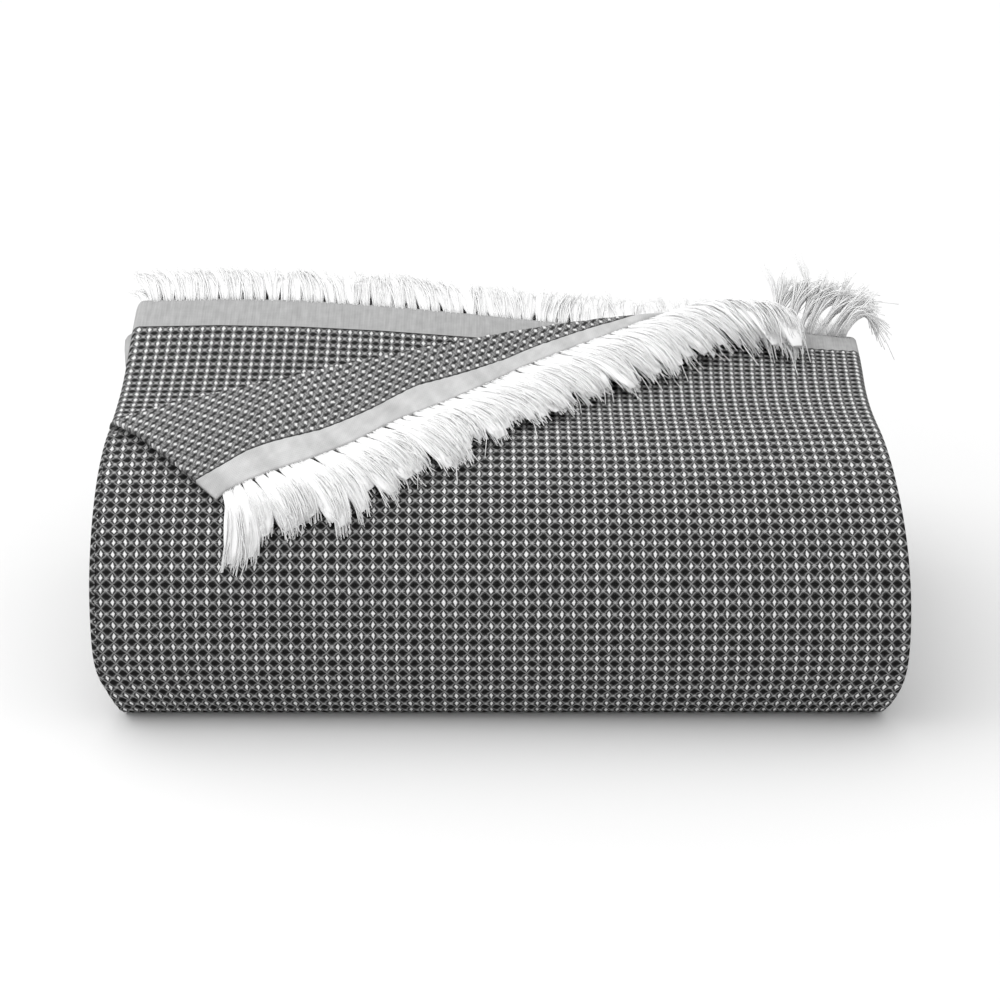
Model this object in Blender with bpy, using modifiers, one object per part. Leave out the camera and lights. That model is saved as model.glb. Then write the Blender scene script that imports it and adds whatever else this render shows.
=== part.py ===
"""Waffle weave cotton blanket with a fringe at each end, folded into a stack.

Run it with blender --background --python part.py, or from the text editor. Metres, +Z up.
X runs across the stack, -Y is its round front fold, and the origin is the middle of its flat
underside.

The blanket is one rectangle of cloth. It is folded in three across its width, which gives a
packet of three plies, and the packet is folded to and fro along its length, eight times over.
The free corner of the uppermost ply is turned down over the front. So each place on the cloth
is found in steps:
    across the width (u)  ->  x and the ply's height n in the packet
    along the length (v)  ->  y and z on the packet's section, n out from its middle line
    the whole stack       ->  settled a little, as a soft pile is
"""

import math
from bisect import bisect_right

import bmesh
import bpy
from mathutils import Vector

# The cloth and the stack
CLOTH = 0.003  # thickness of the waffle cloth
WIDTH = 0.420  # of the stack, over its side folds
PLY_PITCH = 0.00565  # from the middle of a ply to the next one's
PACKET_PITCH = 3 * PLY_PITCH  # from the middle of a packet to the next one's
LOWEST_PACKET = PLY_PITCH + CLOTH / 2  # height of the middle of the lowest packet
HEIGHT = 8 * PACKET_PITCH - (PLY_PITCH - CLOTH)  # of the eight packets
BACK_Y = 0.1256  # where the upper end of the cloth lies
FAR_END_Y = 0.1186  # where its other end lies
SIDE_RADIUS = PLY_PITCH / 2  # of a side fold's middle line
FOLD_X = WIDTH / 2 - SIDE_RADIUS - CLOTH / 2  # centre of a side fold
FREE_X = 0.2055  # where the free sides of the upper and the lower ply lie
RAGGED = 0.0016  # how far a packet's side folds wander in and out

# The section's turns, from the cloth's upper end on. Each joins two of the eight levels by two
# quarter ellipses, which meet at its outermost point. That point is at y, and its height is
# counted in packets from the middle of the lowest. A run is a quarter's half-axis along Y, and
# the steps are its pieces.
TURNS = (
    # from, to, y, height, run in, run out, steps in, steps out
    (8, 1, -0.1178, 2.64, 0.0930, 0.0187, 9, 5),
    (1, 4, 0.1186, 1.50, 0.0254, 0.0254, 3, 3),
    (4, 5, -0.0530, 3.50, 0.0085, 0.0085, 2, 2),
    (5, 6, 0.1166, 4.50, 0.0085, 0.0085, 2, 2),
    (6, 3, -0.0780, 3.05, 0.0420, 0.0150, 4, 3),
    (3, 2, 0.1010, 1.50, 0.0085, 0.0085, 2, 2),
    (2, 7, -0.0985, 2.70, 0.0180, 0.0700, 3, 6),
)
STATION = 0.036  # from one row of the straight runs to the next
FINE = 6  # parts of a step, for reading places between rows

# Columns of the cloth
PLY_STEPS = 5  # across one ply
SIDE_STEPS = 4  # round one side fold

# The turned corner of the uppermost ply, in x and in length v from the cloth's upper end
RIDGE_LEFT = (-0.2055, 0.167)  # where its fold starts, on the free side
RIDGE_RIGHT = (0.125, -0.005)  # where its fold runs out, at the end of the cloth
CORNER_LIES = (-0.145, 0.216)  # where the corner comes to lie
RIDGE_RADIUS = 0.0037  # of the fold's middle line
RIDGE_LIFT = 0.0070  # how far the fold stands off the packet at its highest
RIDGE_LEAN = 0.8  # below 1 that place is nearer to the left
RIDGE_REACH = 0.060  # how far from the fold its lift is felt
FLAP_HEIGHT = 0.0062  # from the packet's upper ply to the turned part, away from the fold
CURL_STEPS = 8  # round the fold
FLAP_STEP = 0.022  # between the rows of the turned part
SLIVER = 0.0010  # cuts that come nearer than this share a point
FILL = 0.31  # how much deeper than its corner the turned part is, past this stretch of the fold
FILL_FROM, FILL_TO = 0.08, 0.33  # shares of the fold's length
DRAWN = 5.6  # how fast it deepens further towards the right end
DRAWN_FROM, DRAWN_POWER = 0.60, 1.7

# Soft unevenness of the whole stack: each row moves what is near a point
HOLLOWS = (
    # what it is, x, y, z, spread x, spread y, spread z, move x, move y, move z
    ("back left corner, lifted", -0.16, 0.145, 0.13, 0.22, 0.080, 0.11, 0.0, 0.0, 0.030),
    ("crease low on the left", -0.115, -0.125, 0.057, 0.085, 0.06, 0.012, 0.0, 0.0030, 0.0),
    ("swell above the crease", -0.10, -0.125, 0.084, 0.10, 0.06, 0.018, 0.0, -0.0014, 0.0),
    ("right shoulder, drawn in", 0.21, 0.0, 0.125, 0.13, 0.10, 0.05, -0.0085, 0.0, 0.0),
    ("left foot, drawn in", -0.21, -0.12, 0.0, 0.06, 0.08, 0.022, 0.0070, 0.0, 0.0),
    ("right foot, drawn in", 0.21, -0.12, 0.0, 0.06, 0.08, 0.022, -0.0060, 0.0, 0.0),
    ("middle of the top, sunk", 0.06, 0.0, 0.13, 0.12, 0.09, 0.09, 0.0, 0.0, -0.0020),
)

# Fringe: each end of a ply has a strip with its locks on it
EDGE_GAP = 0.0004  # from the cloth to the strip
BENT_CLEAR = 0.0008  # more of it on the uppermost ply, whose end is bent
CURL_CLEAR = 0.0010  # and more again where that end rolls up
CURL_X = 0.070  # where that stretch of the end starts
CURL_WIDTH = 0.070
STRIP = 0.0022  # width of the strip
LOCK_LENGTH = 0.055
LOCK_WIDTH = 0.0036  # at its root
LOCK_RINGS = ((0.38, 1.20, 1.10), (0.76, 1.00, 0.85))  # share of the length, width, thickness
CLOSE = 60  # locks on a ply whose fringe shows
SPARSE = 26  # locks on a ply inside the stack
SIDE_CLEAR = 0.003  # from the end of a strip to the side of its ply

# How the locks of the uppermost ply lie, by the place x on its end where they grow.
# The way to the tip, and to the knee halfway, is given as shares of the lock's length: to the
# right and down the front. Their heights are over the middle of the ply.
FRONT_LOCKS = (
    # root x, way right, way down, height of tip, knee right, knee down, height of knee
    (-0.206, 0.02, 0.72, 0.0050, 0.08, 0.38, 0.0068),
    (-0.150, 0.18, 0.74, 0.0050, 0.16, 0.38, 0.0074),
    (-0.095, 0.38, 0.74, 0.0050, 0.26, 0.38, 0.0082),
    (-0.003, 0.57, 0.70, 0.0054, 0.34, 0.34, 0.0110),
    (0.060, 0.52, 0.74, 0.0060, 0.30, 0.30, 0.0150),
    (0.098, 0.34, 0.78, 0.0075, 0.20, 0.10, 0.0220),
    (0.111, 0.26, 0.72, 0.0085, 0.14, -0.08, 0.0250),
    (0.128, 0.20, 0.60, 0.0100, 0.10, -0.14, 0.0250),
    (0.150, 0.18, 0.42, 0.0140, 0.10, -0.18, 0.0250),
    (0.180, 0.30, 0.08, 0.0220, 0.14, -0.24, 0.0230),
    (0.206, 0.56, -0.58, 0.0220, 0.24, -0.36, 0.0140),
)

CLOTH_LOOK = ("waffle_cotton", (0.105, 0.106, 0.110, 1.0), 0.92)  # name, colour, roughness
FRINGE_LOOK = ("white_cotton_fringe", (0.84, 0.84, 0.84, 1.0), 0.88)


def smooth(t):
    """A soft step: 0 below 0, 1 above 1."""
    t = min(max(t, 0.0), 1.0)
    return t * t * (3.0 - 2.0 * t)


def arch(t):
    """0 at 0 and at 1, and 1 halfway."""
    return math.sin(math.pi * min(max(t, 0.0), 1.0))


def wobble(number, kind):
    """A fixed unevenness from -1 to 1 for the given lock."""
    wave = math.sin(number * 12.9898 + kind * 78.233) * 43758.5453
    return 2.0 * (wave - math.floor(wave)) - 1.0


def from_table(table, at):
    """The row of a table at a value of its first column, read between its rows."""
    if at <= table[0][0]:
        return table[0][1:]
    for a, b in zip(table, table[1:]):
        if at <= b[0]:
            share = (at - a[0]) / (b[0] - a[0])
            return tuple(p + (q - p) * share for p, q in zip(a[1:], b[1:]))
    return table[-1][1:]


def level(number):
    """Height of the middle of a packet, counted from 1 at the bottom."""
    return LOWEST_PACKET + (number - 1) * PACKET_PITCH


# ---- The section: the packet's middle line from end to end ----


def outward(dy, dz):
    """The unit normal on the outer side of a line that runs along (dy, dz)."""
    size = math.hypot(dy, dz)
    return dz / size, -dy / size


def straight(y_from, y_to, z):
    """Points of a level run: (y, z, normal y, normal z, whether it is a row)."""
    way = math.copysign(1.0, y_to - y_from)
    low, high = sorted((y_from, y_to))
    marks = [k * STATION for k in range(math.ceil(low / STATION), math.floor(high / STATION) + 1)]
    inner = [y for y in marks if low + STATION / 4 < y < high - STATION / 4]
    ny, nz = outward(way, 0.0)
    return [(y, z, ny, nz, True) for y in [y_from] + sorted(inner, reverse=way < 0)]


def turn(row):
    """Points of one turn, from its first quarter's start to its second's end."""
    first, last, y, height, run_in, run_out, steps_in, steps_out = row
    z = level(1 + height)
    side = math.copysign(1.0, y)
    points = []
    for k in range(steps_in * FINE):
        a = k / (steps_in * FINE) * math.pi / 2
        rise = level(first) - z
        at = (y - side * run_in * (1.0 - math.sin(a)), z + rise * math.cos(a))
        points.append(at + outward(side * run_in * math.cos(a), -rise * math.sin(a)))
    for k in range(steps_out * FINE):
        a = k / (steps_out * FINE) * math.pi / 2
        rise = level(last) - z
        at = (y - side * run_out * (1.0 - math.cos(a)), z + rise * math.sin(a))
        points.append(at + outward(-side * run_out * math.sin(a), rise * math.cos(a)))
    return [point + (k % FINE == 0,) for k, point in enumerate(points)]


def section():
    """The middle line as lists of v, (y, z, normal y, normal z), and the v of its rows."""
    points = []
    y = BACK_Y
    for row in TURNS:
        side = math.copysign(1.0, row[2])
        points += straight(y, row[2] - side * row[4], level(row[0]))
        points += turn(row)
        y = row[2] - side * row[5]
    points += straight(y, FAR_END_Y, level(TURNS[-1][1]))
    points.append((FAR_END_Y,) + points[-1][1:])
    along = [0.0]
    for a, b in zip(points, points[1:]):
        along.append(along[-1] + math.hypot(b[0] - a[0], b[1] - a[1]))
    rows = [v for v, point in zip(along, points) if point[4]]
    return along, [point[:4] for point in points], rows


ALONG, MIDDLE_LINE, ROWS = section()
LENGTH = ALONG[-1]  # of the cloth, without its fringes


def settle(x, y, z):
    """Moves a place as the soft stack gives there, and keeps the underside flat."""
    dx = dy = dz = 0.0
    for _, px, py, pz, sx, sy, sz, mx, my, mz in HOLLOWS:
        near = math.exp(-(((x - px) / sx) ** 2) - ((y - py) / sy) ** 2 - ((z - pz) / sz) ** 2)
        dx += near * mx
        dy += near * my
        dz += near * mz * z / HEIGHT
    return Vector((x + dx, y + dy, z + dz))


def place(x, v, n):
    """The world place at x, at length v along the middle line, and n out from it."""
    i = min(max(bisect_right(ALONG, v), 1), len(ALONG) - 1)
    share = (v - ALONG[i - 1]) / (ALONG[i] - ALONG[i - 1])
    a, b = MIDDLE_LINE[i - 1], MIDDLE_LINE[i]
    y, z, ny, nz = (p + (q - p) * share for p, q in zip(a, b))
    wander = math.sin(v * 21.0 + 1.0) + 0.6 * math.sin(v * 37.0)
    x -= x / FOLD_X * RAGGED * (1.6 + wander) * smooth((v - 0.30) / 0.05)
    return settle(x, y + n * ny, z + n * nz)


# ---- Across the width: three plies and two side folds ----


def profile():
    """The packet's cross line, from the upper ply's free side on: (x, n) for each column."""
    columns = []
    for k in range(PLY_STEPS):
        columns.append((-FREE_X + (FOLD_X + FREE_X) * k / PLY_STEPS, PLY_PITCH))
    for k in range(SIDE_STEPS):
        a = math.pi * k / SIDE_STEPS
        columns.append((FOLD_X + SIDE_RADIUS * math.sin(a), SIDE_RADIUS * (1 + math.cos(a))))
    for k in range(PLY_STEPS):
        columns.append((FOLD_X - 2 * FOLD_X * k / PLY_STEPS, 0.0))
    for k in range(SIDE_STEPS):
        a = math.pi * k / SIDE_STEPS
        columns.append((-FOLD_X - SIDE_RADIUS * math.sin(a), SIDE_RADIUS * (math.cos(a) - 1)))
    for k in range(PLY_STEPS + 1):
        columns.append((-FOLD_X + (FOLD_X + FREE_X) * k / PLY_STEPS, -PLY_PITCH))
    return columns


# ---- The turned corner ----


def ridge_frame():
    """The fold line's unit vectors along and across, and the corner's give.

    Cloth gives on the bias, so the turned corner is drawn along the fold and towards it. The
    corner's give is its shrink across the fold and its shear along it.
    """
    along = (Vector(RIDGE_RIGHT) - Vector(RIDGE_LEFT)).normalized()
    across = Vector((-along.y, along.x))
    corner = Vector((-FREE_X, 0.0)) - Vector(RIDGE_LEFT)
    lies = Vector(CORNER_LIES) - Vector(RIDGE_LEFT)
    depth = -corner.dot(across)
    shrink = (lies.dot(across) + math.pi * RIDGE_RADIUS) / depth
    shear = (lies.dot(along) - corner.dot(along)) / depth
    return along, across, shrink, shear


RIDGE_LENGTH = (Vector(RIDGE_RIGHT) - Vector(RIDGE_LEFT)).length
RIDGE_ALONG, RIDGE_ACROSS, CORNER_SHRINK, CORNER_SHEAR = ridge_frame()


def ridge_lift(s, w):
    """How far both sheets stand off the packet, w from the fold at s along it."""
    share = max(s / RIDGE_LENGTH, 0.0) ** RIDGE_LEAN
    return RIDGE_LIFT * arch(share) * smooth(1.0 - abs(w) / RIDGE_REACH)


def give(share):
    """Depth of the turned part at a share of the fold's length, against that at its corner."""
    filled = FILL * smooth((share - FILL_FROM) / (FILL_TO - FILL_FROM))
    return 1.0 + filled + DRAWN * max(share - DRAWN_FROM, 0.0) ** DRAWN_POWER


def upper_ply(x, v, h=0.0):
    """Where a place on the uppermost ply lies, as x, v and n; h is a height on its face."""
    from_left = Vector((x, v)) - Vector(RIDGE_LEFT)
    s = from_left.dot(RIDGE_ALONG)
    depth = -from_left.dot(RIDGE_ACROSS)
    if depth <= 0.0:
        return Vector((x, v, PLY_PITCH + h + ridge_lift(s, depth)))
    s += CORNER_SHEAR * depth
    depth *= CORNER_SHRINK * give(s / RIDGE_LENGTH)
    bend = depth / RIDGE_RADIUS
    if bend < math.pi:
        w = -(RIDGE_RADIUS - h) * math.sin(bend)
        n = RIDGE_RADIUS - (RIDGE_RADIUS - h) * math.cos(bend)
    else:
        w = depth - math.pi * RIDGE_RADIUS
        fall = smooth(w / RIDGE_REACH)
        n = 2 * RIDGE_RADIUS + (FLAP_HEIGHT - 2 * RIDGE_RADIUS) * fall - h
    at = Vector(RIDGE_LEFT) + s * RIDGE_ALONG + w * RIDGE_ACROSS
    return Vector((at.x, at.y, PLY_PITCH + n + ridge_lift(s, w)))


def cut_flat(bm, faces, point, normal):
    """Cuts flat faces along a line, and returns the faces that they become."""
    geom = set(faces)
    for face in faces:
        geom.update(face.edges)
        geom.update(face.verts)
    made = bmesh.ops.bisect_plane(
        bm, geom=list(geom), dist=1e-6, plane_co=point.to_3d(), plane_no=normal.to_3d()
    )
    return [item for item in made["geom"] if isinstance(item, bmesh.types.BMFace)]


def cut_for_turned_corner(bm, faces):
    """Adds the rows round the fold and down the turned corner to the flat upper ply."""
    left = Vector(RIDGE_LEFT)
    curl = math.pi * RIDGE_RADIUS
    reach = (Vector(CORNER_LIES) - left).dot(RIDGE_ACROSS)
    depths = [curl * k / CURL_STEPS for k in range(CURL_STEPS + 1)]
    rows = round(reach / FLAP_STEP)
    depths += [curl + reach * k / rows for k in range(1, rows)]
    for depth in depths:
        at_left = depth / CORNER_SHRINK
        at_right = at_left / give(1.0)
        way = RIDGE_LENGTH * RIDGE_ALONG + (at_left - at_right) * RIDGE_ACROSS
        across = Vector((-way.y, way.x)).normalized()
        faces = cut_flat(bm, faces, left - RIDGE_ACROSS * at_left, across)
    turned = [f for f in faces if (f.calc_center_median().xy - left).dot(RIDGE_ACROSS) < 0.0]
    columns = round(RIDGE_LENGTH / FLAP_STEP)
    for k in range(1, columns):
        at = left + RIDGE_ALONG * RIDGE_LENGTH * k / columns
        turned = cut_flat(bm, turned, at, RIDGE_ALONG)
    bmesh.ops.remove_doubles(bm, verts=bm.verts, dist=SLIVER)


# ---- Pieces ----


def material(look):
    """A plain Principled material."""
    name, colour, roughness = look
    made = bpy.data.materials.new(name)
    made.use_nodes = True
    shader = made.node_tree.nodes["Principled BSDF"]
    shader.inputs["Base Color"].default_value = colour
    shader.inputs["Roughness"].default_value = roughness
    shader.inputs["Metallic"].default_value = 0.0
    return made


def object_of(name, bm, look, collection):
    """Makes an object of a bmesh."""
    mesh = bpy.data.meshes.new(name)
    bm.to_mesh(mesh)
    bm.free()
    mesh.materials.append(look)
    made = bpy.data.objects.new(name, mesh)
    collection.objects.link(made)
    return made


def blanket(look, collection):
    """The whole cloth as one sheet, cut for its turned corner while flat, and then folded."""
    columns = profile()
    widths = [0.0]
    for a, b in zip(columns, columns[1:]):
        widths.append(widths[-1] + math.hypot(b[0] - a[0], b[1] - a[1]))
    start = Vector((-FREE_X, 0.0))
    bm = bmesh.new()
    grid = [[bm.verts.new((start.x + u, v, 0.0)) for u in widths] for v in ROWS]
    upper = []
    for row, below in zip(grid, grid[1:]):
        for k in range(len(columns) - 1):
            face = bm.faces.new((row[k], row[k + 1], below[k + 1], below[k]))
            if k < PLY_STEPS and row[k].co.y < RIDGE_LEFT[1] + STATION:
                upper.append(face)
    cut_for_turned_corner(bm, upper)
    for vert in bm.verts:
        u, v = vert.co.x - start.x, vert.co.y
        if u < widths[PLY_STEPS] + 1e-6:
            x, v, n = upper_ply(start.x + u, v)
        else:
            k = min(bisect_right(widths, u + 1e-6), len(widths) - 1)
            share = (u - widths[k - 1]) / (widths[k] - widths[k - 1])
            x, n = Vector(columns[k - 1]).lerp(Vector(columns[k]), share)
        vert.co = place(x, v, n)
    bmesh.ops.recalc_face_normals(bm, faces=bm.faces)
    made = object_of("blanket", bm, look, collection)
    solid = made.modifiers.new("thickness", "SOLIDIFY")
    solid.thickness = CLOTH
    solid.offset = 0.0
    solid.use_even_offset = True
    return made


def front_root(x, out, h):
    """A place beyond the end of the uppermost ply, further out where that end is bent."""
    clear = BENT_CLEAR + CURL_CLEAR * arch((x - CURL_X) / CURL_WIDTH)
    return upper_ply(x, -out - clear, h)


def front_path(number, x, root, length):
    """The middle line of a lock of the uppermost ply: root, knee and tip."""
    right, down, tip_n, knee_right, knee_down, knee_n = from_table(FRONT_LOCKS, x)
    sway = 0.05 * wobble(number, 1)
    knee = Vector((root.x + knee_right * length, root.y + knee_down * length, 0.0))
    tip = Vector((root.x + (right + sway) * length, root.y + down * length, 0.0))
    knee.z = PLY_PITCH + knee_n
    tip.z = PLY_PITCH + tip_n
    return root, knee, tip


def back_root(ply, far_end):
    """Gives the function of the places beyond one end of a ply inside the stack."""
    n = PLY_PITCH * (1 - ply)

    def root(x, out, h):
        return Vector((x, LENGTH + out if far_end else -out, n + h))

    return root


def back_path(fall):
    """Gives the function of a lock that points back, and rises or falls on its way."""

    def path(number, x, root, length):
        way = math.copysign(1.0, root.y)
        lean = 0.06 * wobble(number // 7, 2) + 0.025 * wobble(number, 1)
        knee = root + Vector((0.35 * lean * length, 0.5 * way * length, 0.3 * fall))
        tip = root + Vector((lean * length, way * length, fall))
        return root, knee, tip

    return path


def bezier(points, t):
    """A place on the soft line through a root, knee and tip."""
    root, knee, tip = points
    pull = 2.0 * knee - 0.5 * (root + tip)
    return (1 - t) ** 2 * root + 2 * t * (1 - t) * pull + t * t * tip


def lock(bm, ring, points, edge, face):
    """Grows a four-sided lock from its root ring on the strip to a point.

    edge runs along the cloth's end, and face points out of the ring's first side.
    """
    rings = [ring]
    first = bezier(points, 0.05) - bezier(points, 0.0)
    turned = math.copysign(1.0, first.cross(edge).dot(face))
    for share, wide, thick in LOCK_RINGS:
        at = bezier(points, share)
        way = (bezier(points, share + 0.05) - bezier(points, share - 0.05)).normalized()
        side = (edge - edge.dot(way) * way).normalized() * LOCK_WIDTH * wide / 2
        up = way.cross(side).normalized() * turned * CLOTH * thick / 2
        corners = (at - side + up, at + side + up, at + side - up, at - side - up)
        rings.append([bm.verts.new(place(*corner)) for corner in corners])
    tip = bm.verts.new(place(*bezier(points, 1.0)))
    for a, b in zip(rings, rings[1:]):
        for k in range(4):
            bm.faces.new((a[k], a[(k + 1) % 4], b[(k + 1) % 4], b[k]))
    for k in range(4):
        bm.faces.new((rings[-1][k], rings[-1][(k + 1) % 4], tip))


def fringe(name, count, root, path, look, collection):
    """A strip along the end of one ply with its locks, as one solid."""
    left, right = -FREE_X + SIDE_CLEAR, FREE_X - SIDE_CLEAR
    pitch = (right - left - LOCK_WIDTH) / (count - 1)
    stations = []
    for k in range(count):
        stations += [left + k * pitch, left + k * pitch + LOCK_WIDTH]
    bm = bmesh.new()
    rows = []
    for x in stations:
        inner, outer = EDGE_GAP, EDGE_GAP + STRIP
        corners = ((inner, 0.5), (outer, 0.5), (outer, -0.5), (inner, -0.5))
        rows.append([bm.verts.new(place(*root(x, out, h * CLOTH))) for out, h in corners])
    for k, (a, b) in enumerate(zip(rows, rows[1:])):
        for j in (0, 2, 3) if k % 2 == 0 else range(4):
            bm.faces.new((a[j], b[j], b[(j + 1) % 4], a[(j + 1) % 4]))
    bm.faces.new(rows[0])
    bm.faces.new(rows[-1][::-1])
    for k in range(count):
        x = stations[2 * k] + LOCK_WIDTH / 2
        end = EDGE_GAP + STRIP
        edge = root(x + 0.001, end, 0.0) - root(x - 0.001, end, 0.0)
        face = root(x, end, 0.001) - root(x, end, 0.0)
        points = path(k, x, root(x, end, 0.0), LOCK_LENGTH * (1.0 + 0.08 * wobble(k, 3)))
        a, b = rows[2 * k], rows[2 * k + 1]
        lock(bm, (a[1], b[1], b[2], a[2]), points, edge, face)
    bmesh.ops.recalc_face_normals(bm, faces=bm.faces)
    return object_of(name, bm, look, collection)


def build():
    """Makes the collection with the cloth and its six fringes."""
    for old in list(bpy.data.objects):
        bpy.data.objects.remove(old, do_unlink=True)
    collection = bpy.data.collections.new("waffle_weave_blanket")
    bpy.context.scene.collection.children.link(collection)
    cloth = material(CLOTH_LOOK)
    cotton = material(FRINGE_LOOK)
    blanket(cloth, collection)
    fringe("fringe_turned", CLOSE, front_root, front_path, cotton, collection)
    back_fringes = (
        # name, locks, ply, far end of the cloth, rise of the tips out from the packet
        ("fringe_middle", CLOSE, 1, False, 0.004),
        ("fringe_lower", SPARSE, 2, False, 0.0),
        ("fringe_far_upper", SPARSE, 2, True, 0.004),
        ("fringe_far_middle", SPARSE, 1, True, 0.008),
        ("fringe_far_lower", SPARSE, 0, True, 0.012),
    )
    for name, count, ply, far_end, rise in back_fringes:
        fringe(name, count, back_root(ply, far_end), back_path(rise), cotton, collection)


build()
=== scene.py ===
"""Looks of the folded waffle weave blanket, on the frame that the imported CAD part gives.

The cloth is one rectangle, folded in three across its width and to and fro along its length, with
the free corner of its uppermost ply turned down over the front. The same steps as in the CAD give
the place of each point, on a finer grid:
    across the width (u)  ->  x and the ply's height n in the packet
    along the length (v)  ->  y and z on the packet's section, n out from its middle line
    the whole stack       ->  settled a little, as a soft pile is
Everything is in metres, and seen from the front fold: right is +x and back is +y.
"""

import math
import random
from bisect import bisect_right

import bmesh
import bpy
import numpy as np
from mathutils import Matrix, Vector


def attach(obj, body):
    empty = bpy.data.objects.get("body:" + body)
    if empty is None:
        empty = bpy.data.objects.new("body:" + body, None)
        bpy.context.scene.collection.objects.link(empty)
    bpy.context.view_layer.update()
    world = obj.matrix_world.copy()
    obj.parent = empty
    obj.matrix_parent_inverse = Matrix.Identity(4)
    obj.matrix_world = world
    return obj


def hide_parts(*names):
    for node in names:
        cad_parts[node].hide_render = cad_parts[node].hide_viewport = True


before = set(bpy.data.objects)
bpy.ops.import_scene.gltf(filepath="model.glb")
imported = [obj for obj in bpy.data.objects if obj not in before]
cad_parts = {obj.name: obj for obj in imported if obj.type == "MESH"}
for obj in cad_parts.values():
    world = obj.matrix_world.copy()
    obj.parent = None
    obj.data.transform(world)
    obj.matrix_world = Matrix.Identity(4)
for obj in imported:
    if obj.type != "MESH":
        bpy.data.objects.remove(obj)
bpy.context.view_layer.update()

# ---- Sizes that the CAD part has too, but for the rows that are named as the scene's own ----

CLOTH = 0.003  # thickness of a ply in the CAD part
WIDTH = 0.420
PLY_PITCH = 0.00565  # from ply to ply
PACKET_PITCH = 3 * PLY_PITCH
LOWEST_PACKET = PLY_PITCH + CLOTH / 2
HEIGHT = 8 * PACKET_PITCH - (PLY_PITCH - CLOTH)
BACK_Y = 0.1256  # of the cloth's upper end
FAR_END_Y = 0.1186  # of its other end
SIDE_RADIUS = PLY_PITCH / 2
FOLD_X = WIDTH / 2 - SIDE_RADIUS - CLOTH / 2  # where the plies start to turn at the sides
FREE_X = 0.2055  # of the free sides: the uppermost ply's at the left, the lowest's at the right
RAGGED = 0.0016  # how far the plies inside the stack draw in at the sides, unevenly
RAGGED_WAVES = (21.0, 37.0)  # radians for each metre along the cloth
SECOND_WAVE = 0.6  # size of the second wave against the first
RAGGED_FROM, RAGGED_OVER = 0.30, 0.05  # starts here along the cloth, and grows over this length

TURNS = (
    # from packet, to packet, y of the outermost place, its height in packets, and how far
    # the turn runs along y on its way in and on its way out
    (8, 1, -0.1178, 2.64, 0.0930, 0.0187),
    (1, 4, 0.1186, 1.50, 0.0254, 0.0254),
    (4, 5, -0.0530, 3.50, 0.0085, 0.0085),
    (5, 6, 0.1166, 4.50, 0.0085, 0.0085),
    (6, 3, -0.0780, 3.05, 0.0420, 0.0150),
    (3, 2, 0.1010, 1.50, 0.0085, 0.0085),
    (2, 7, -0.0985, 2.70, 0.0180, 0.0700),
)
TURN_STEPS = 54  # points in each half of a turn

# The turned corner, on the flat cloth as (x, length from the upper end)
RIDGE_LEFT = (-0.2055, 0.167)  # left end of its fold
RIDGE_RIGHT = (0.125, -0.005)
CORNER_LIES = (-0.145, 0.216)  # over this place
RIDGE_RADIUS = 0.0037
RIDGE_LIFT = 0.0070  # how far its fold stands off the packet, at most
LIFT_POWER = 0.8  # puts the highest place a little left of the fold's middle
RIDGE_REACH = 0.060  # how far from the fold the lift is felt
FLAP_HEIGHT = 0.0062  # of the turned sheet over the other, away from the fold
FILL = 0.31  # how much deeper than its corner the turned part is, past this stretch of the fold
FILL_FROM, FILL_TO = 0.08, 0.33  # shares of the fold's length
DRAWN = 5.6  # how fast it deepens further towards the right end
DRAWN_FROM, DRAWN_POWER = 0.60, 1.7

HOLLOWS = (
    # x, y, z, spread x, spread y, spread z, move x, move y, move z
    (-0.16, 0.145, 0.13, 0.22, 0.080, 0.11, 0.0, 0.0, 0.030),
    (-0.115, -0.125, 0.057, 0.085, 0.06, 0.012, 0.0, 0.0030, 0.0),
    (-0.10, -0.125, 0.084, 0.10, 0.06, 0.018, 0.0, -0.0014, 0.0),
    (0.21, 0.0, 0.125, 0.13, 0.10, 0.05, -0.0085, 0.0, 0.0),
    (-0.21, -0.12, 0.0, 0.06, 0.08, 0.022, 0.0070, 0.0, 0.0),
    (0.21, -0.12, 0.0, 0.06, 0.08, 0.022, -0.0060, 0.0, 0.0),
    (0.06, 0.0, 0.13, 0.12, 0.09, 0.09, 0.0, 0.0, -0.0020),
    # the scene's own: the packet below stands out at the back left, and the back right is lower
    (-0.222, 0.125, 0.1115, 0.024, 0.060, 0.0070, -0.0180, 0.0, -0.0045),
    (0.215, 0.140, 0.132, 0.050, 0.060, 0.050, 0.0, 0.0, -0.0045),
)

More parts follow.
